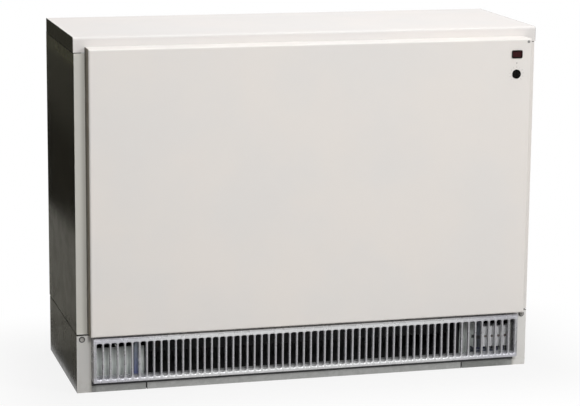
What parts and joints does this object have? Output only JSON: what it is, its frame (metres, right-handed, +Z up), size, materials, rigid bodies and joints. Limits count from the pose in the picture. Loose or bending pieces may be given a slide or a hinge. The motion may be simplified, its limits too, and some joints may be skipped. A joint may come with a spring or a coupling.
{
  "type": "storage heater",
  "caption": "Floor-standing night storage heater: a brick core in a pale sheet-steel cabinet with dark sides, over a fan base with a slotted outlet grille.",
  "frame": {"origin": "on the floor under the middle of the box round the cabinet", "axes": "+X to the right as seen from the front, +Y to the rear (the front faces -Y), +Z up"},
  "size_m": [0.893, 0.3712, 0.668],
  "materials": {
    "cream_enamel": "satin cream-white stoved enamel",
    "umber_enamel": "glossy dark umber-grey enamel",
    "grille_silver": "satin silver-grey",
    "galvanised_sheet": "galvanised",
    "duct_black": "heat-proof black on sheet",
    "insulation_board": "pressed mineral board",
    "storage_brick": "dark iron-oxide brick",
    "element_steel": "oxidised tube",
    "brass": "plain",
    "fan_aluminium": "plain sheet",
    "bright_steel": "bright zinc",
    "motor_iron": "laminated stack",
    "black_plastic": "fine matt",
    "red_plastic": "dark red gloss",
    "white_plastic": "satin",
    "loom_sleeve": "matt sleeve"
  },
  "bodies": {
    "cabinet": {"top_cover": "cream_enamel", "front_panel": "cream_enamel", "front_stile_left": "cream_enamel", "front_stile_right": "cream_enamel", "base_post_left": "cream_enamel", "base_post_right": "cream_enamel", "base_floor_left": "galvanised_sheet", "base_floor_centre": "galvanised_sheet", "base_floor_right": "galvanised_sheet", "lid_end_cap_left": "umber_enamel", "lid_end_cap_right": "umber_enamel", "side_panel_left": "umber_enamel", "side_panel_right": "umber_enamel", "base_side_left": "umber_enamel", "base_side_right": "umber_enamel", "outlet_grille": "grille_silver", "rear_panel": "galvanised_sheet", "wall_brackets": "galvanised_sheet", "base_back": "galvanised_sheet", "base_deck": "galvanised_sheet", "base_partition_left": "duct_black", "base_partition_right": "duct_black", "left_bay_baffle": "galvanised_sheet", "inner_front_sheet": "galvanised_sheet", "inner_top_sheet": "galvanised_sheet", "inner_right_sheet": "galvanised_sheet", "blower_housing": "duct_black", "terminal_bracket": "galvanised_sheet", "insulation_front": "insulation_board", "insulation_rear": "insulation_board", "insulation_left": "insulation_board", "insulation_right": "insulation_board", "insulation_bottom": "insulation_board", "insulation_top": "insulation_board", "storage_bricks_1": "storage_brick", "storage_bricks_2": "storage_brick", "storage_bricks_3": "storage_brick", "storage_bricks_4": "storage_brick", "heating_elements": "element_steel", "element_studs": "brass", "element_busbars": "brass", "charge_limiter": "black_plastic", "fan_motor_stator": "motor_iron", "fan_bushes": "brass", "bimetal_strip": "brass", "switch_housing": "black_plastic", "thermostat_body": "white_plastic", "panel_plug": "black_plastic", "control_loom": "loom_sleeve", "terminal_block": "white_plastic", "cable_gland": "black_plastic", "base_screws": "bright_steel", "cabinet_screws": "bright_steel"},
    "rocker": {"switch_rocker": "red_plastic"},
    "knob": {"thermostat_knob": "black_plastic"},
    "fan": {"fan_impeller": "fan_aluminium", "fan_shaft": "bright_steel", "fan_motor_rotor": "motor_iron"},
    "flap": {"mixing_flap": "duct_black"}
  },
  "joints": [
    {"name": "rocker_press", "type": "hinge", "parent": "cabinet", "child": "rocker", "pos_m": [0.395, -0.1819, 0.621], "axis": [0, 0, 1], "range_deg": [0, 18]},
    {"name": "knob_turn", "type": "hinge", "parent": "cabinet", "child": "knob", "pos_m": [0.395, -0.1825, 0.583], "axis": [0, -1, 0], "range_deg": [-135, 135]},
    {"name": "fan_spin", "type": "hinge", "parent": "cabinet", "child": "fan", "pos_m": [0, 0.0795, 0.056], "axis": [1, 0, 0], "continuous": true},
    {"name": "flap_swing", "type": "hinge", "parent": "cabinet", "child": "flap", "pos_m": [0, -0.0805, 0.1], "axis": [1, 0, 0], "range_deg": [0, 55]}
  ]
}
